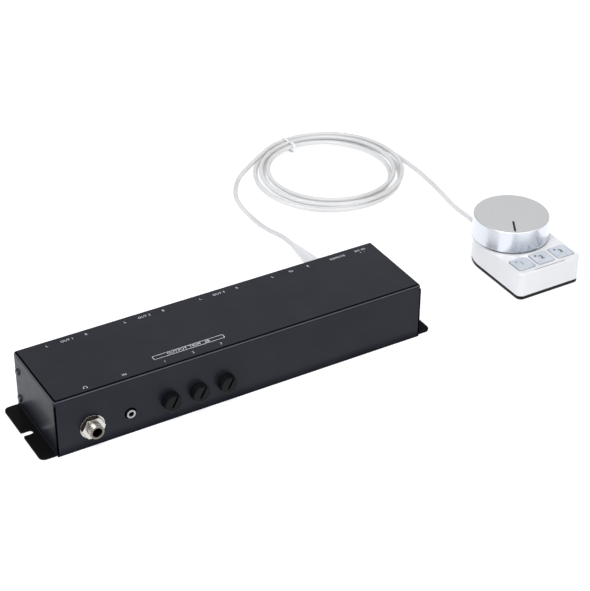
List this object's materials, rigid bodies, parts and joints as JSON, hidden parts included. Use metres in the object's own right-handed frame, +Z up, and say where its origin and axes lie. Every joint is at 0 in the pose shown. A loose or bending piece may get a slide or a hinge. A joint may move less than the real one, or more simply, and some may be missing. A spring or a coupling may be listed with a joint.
{
  "type": "studio monitor controller",
  "caption": "Low folded-metal connection box with rear sockets, front jacks and trims, wired to a small desk remote with a large level knob and keys.",
  "frame": {"origin": "middle of the connection box's footprint, on the surface that it stands on", "axes": "+X along the box towards the remote, +Y towards the rear connectors, +Z up"},
  "size_m": [0.4193, 0.2922, 0.042],
  "materials": {
    "case_paint": "fine satin powder coat",
    "black_screw": "satin black",
    "board": "solder mask",
    "plain_steel": "plain",
    "relay_case": "matt",
    "chip": "matt",
    "capacitor_sleeve": "sleeve",
    "contact": "gold flash",
    "socket_plastic": "fine matt",
    "socket_metal": "satin black over zinc",
    "nickel": "nickel plate",
    "trim_plastic": "fine matt",
    "white_plastic": "satin moulded",
    "dark_plastic": "matt",
    "foot_rubber": "matt",
    "knob_aluminium": "turned and blasted, clear anodised",
    "key_plastic": "frosted translucent",
    "lamp": "clear",
    "cable_jacket": "satin PVC",
    "tie_plastic": "nylon"
  },
  "bodies": {
    "console": {"case_cover": "case_paint", "base_panel": "case_paint", "end_screws": "black_screw", "main_board": "board", "board_standoffs": "plain_steel", "board_screws": "plain_steel", "relays": "relay_case", "amplifier_chips": "chip", "capacitors": "capacitor_sleeve", "output_pins": "contact", "connector_screws": "black_screw", "remote_socket": "socket_plastic", "power_inlet": "socket_plastic", "inlet_pin": "nickel", "headphone_jack_body": "socket_plastic", "headphone_bush": "nickel", "headphone_washer": "nickel", "headphone_nut": "nickel", "aux_jack_body": "socket_plastic", "aux_jack_ring": "nickel", "trim_pots": "plain_steel", "remote_housing": "white_plastic", "remote_base": "dark_plastic", "remote_foot": "foot_rubber", "remote_screws": "plain_steel", "ballast_weight": "plain_steel", "remote_board": "board", "remote_spacers": "white_plastic", "level_pot": "plain_steel", "level_pot_nut": "nickel", "tact_switches": "chip", "key_lights": "lamp", "remote_strain_relief": "cable_jacket", "remote_plug": "cable_jacket", "plug_shell": "nickel", "plug_pins": "contact", "cable_coil": "cable_jacket", "cable_box_leg": "cable_jacket", "cable_remote_leg": "cable_jacket", "coil_tie": "tie_plastic", "output_socket_1": "socket_metal", "output_socket_2": "socket_metal", "output_socket_3": "socket_metal", "output_socket_4": "socket_metal", "output_socket_5": "socket_metal", "output_socket_6": "socket_metal", "combo_input_1": "socket_metal", "combo_input_2": "socket_metal"},
    "level_control": {"level_shaft": "plain_steel", "level_knob": "knob_aluminium", "knob_pointer": "dark_plastic"},
    "trim_1": {"trim_shaft_1": "plain_steel", "trim_knob_1": "trim_plastic"},
    "key_1": {"key_1": "key_plastic"},
    "trim_2": {"trim_shaft_2": "plain_steel", "trim_knob_2": "trim_plastic"},
    "key_2": {"key_2": "key_plastic"},
    "trim_3": {"trim_shaft_3": "plain_steel", "trim_knob_3": "trim_plastic"},
    "key_3": {"key_3": "key_plastic"}
  },
  "joints": [
    {"name": "level_turn", "type": "hinge", "parent": "console", "child": "level_control", "pos_m": [0.2461, 0.0196, 0.03], "axis": [0, 0, -1], "range_deg": [0, 300]},
    {"name": "trim_1_turn", "type": "hinge", "parent": "console", "child": "trim_1", "pos_m": [-0.0556, -0.03, 0.0155], "axis": [0, 1, 0], "range_deg": [-180, 120]},
    {"name": "trim_2_turn", "type": "hinge", "parent": "console", "child": "trim_2", "pos_m": [-0.0356, -0.03, 0.0155], "axis": [0, 1, 0], "range_deg": [-180, 120]},
    {"name": "trim_3_turn", "type": "hinge", "parent": "console", "child": "trim_3", "pos_m": [-0.0156, -0.03, 0.0155], "axis": [0, 1, 0], "range_deg": [-180, 120]},
    {"name": "key_1_press", "type": "slide", "parent": "console", "child": "key_1", "axis": [0, 0, -1], "range_m": [0, 0.0005], "stiffness_N_per_m": 300, "springref_m": -0.0008},
    {"name": "key_2_press", "type": "slide", "parent": "console", "child": "key_2", "axis": [0, 0, -1], "range_m": [0, 0.0005], "stiffness_N_per_m": 300, "springref_m": -0.0008},
    {"name": "key_3_press", "type": "slide", "parent": "console", "child": "key_3", "axis": [0, 0, -1], "range_m": [0, 0.0005], "stiffness_N_per_m": 300, "springref_m": -0.0008}
  ]
}
